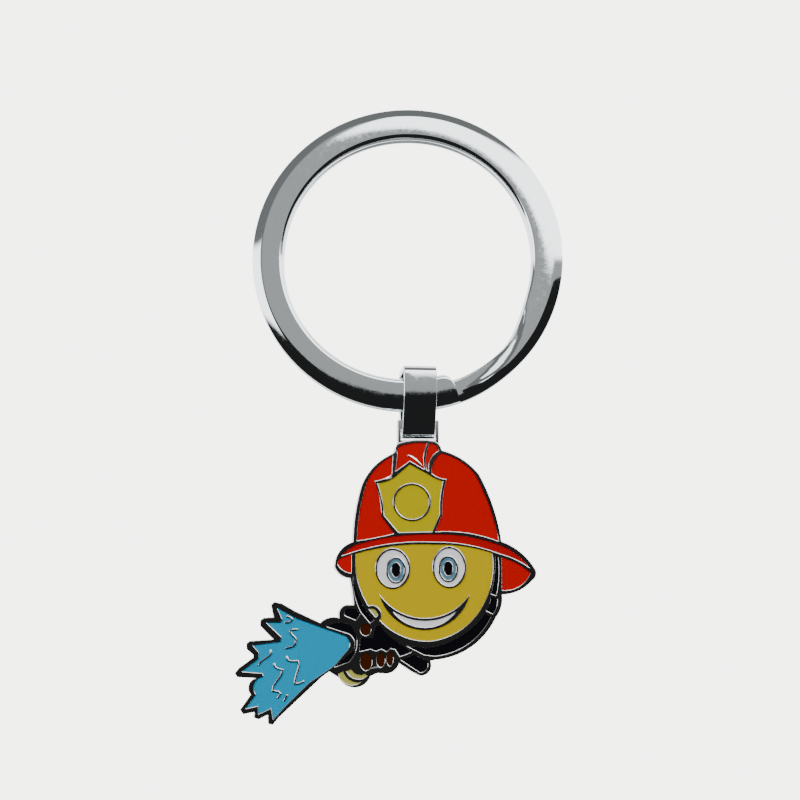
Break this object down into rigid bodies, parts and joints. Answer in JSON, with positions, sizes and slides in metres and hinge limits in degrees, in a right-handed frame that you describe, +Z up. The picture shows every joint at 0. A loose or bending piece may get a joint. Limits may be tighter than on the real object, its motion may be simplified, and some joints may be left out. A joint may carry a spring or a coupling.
{
  "type": "keychain",
  "caption": "Hanging keychain: flat split ring, folded metal connector strap and an enamelled metal charm of a smiling face in a fire helmet beside a hose that sprays water.",
  "frame": {"origin": "top of the split ring's hole, at mid thickness, where the ring hangs on a hook or peg", "axes": "+Z up as the keychain hangs, +Y towards the back, so that the charm's enamelled front faces -Y, and +X to the right seen from the front"},
  "size_m": [0.0309, 0.0054, 0.0591],
  "materials": {
    "ring_chrome": "polished",
    "strap_chrome": "polished",
    "charm_metal": "polished",
    "enamel_red": "gloss",
    "enamel_dark_red": "gloss",
    "enamel_badge_yellow": "gloss",
    "enamel_yellow": "gloss",
    "enamel_white": "gloss",
    "enamel_blue_grey": "gloss",
    "enamel_black": "gloss",
    "enamel_brown": "gloss",
    "enamel_olive": "gloss",
    "enamel_cyan": "gloss"
  },
  "bodies": {
    "ring": {"split_ring": "ring_chrome"},
    "connector": {"connector_strap": "strap_chrome"},
    "charm": {"charm_base": "charm_metal", "enamel_badge": "enamel_badge_yellow", "enamel_badge_disc": "enamel_badge_yellow", "enamel_brim": "enamel_dark_red", "enamel_brim_under_left": "enamel_red", "enamel_brim_under_right": "enamel_red", "enamel_buckle": "enamel_black", "enamel_chin_strap_left": "enamel_black", "enamel_chin_strap_lower": "enamel_black", "enamel_chin_strap_right": "enamel_black", "enamel_collar": "enamel_olive", "enamel_cuff_lower": "enamel_olive", "enamel_cuff_upper": "enamel_olive", "enamel_eye_white_left": "enamel_white", "enamel_eye_white_right": "enamel_white", "enamel_face": "enamel_yellow", "enamel_finger_first": "enamel_brown", "enamel_finger_second": "enamel_brown", "enamel_finger_third": "enamel_brown", "enamel_helmet_comb": "enamel_red", "enamel_helmet_left": "enamel_red", "enamel_helmet_ridge": "enamel_red", "enamel_helmet_right": "enamel_red", "enamel_hose_end": "enamel_black", "enamel_iris_left": "enamel_blue_grey", "enamel_iris_right": "enamel_blue_grey", "enamel_nozzle_body": "enamel_black", "enamel_nozzle_rim": "enamel_black", "enamel_pupil_left": "enamel_black", "enamel_pupil_right": "enamel_black", "enamel_teeth": "enamel_white", "enamel_thumb": "enamel_brown", "enamel_valve": "enamel_black", "enamel_water": "enamel_cyan"}
  },
  "joints": [
    {"name": "connector_swing", "type": "hinge", "parent": "ring", "child": "connector", "pos_m": [0.00094, 0, -0.02547], "axis": [1, 0, 0], "range_deg": [-90, 90]},
    {"name": "charm_swing", "type": "hinge", "parent": "connector", "child": "charm", "pos_m": [0.00094, 0, -0.02837], "axis": [0.9945, 0.1045, 0], "range_deg": [-70, 70]}
  ]
}
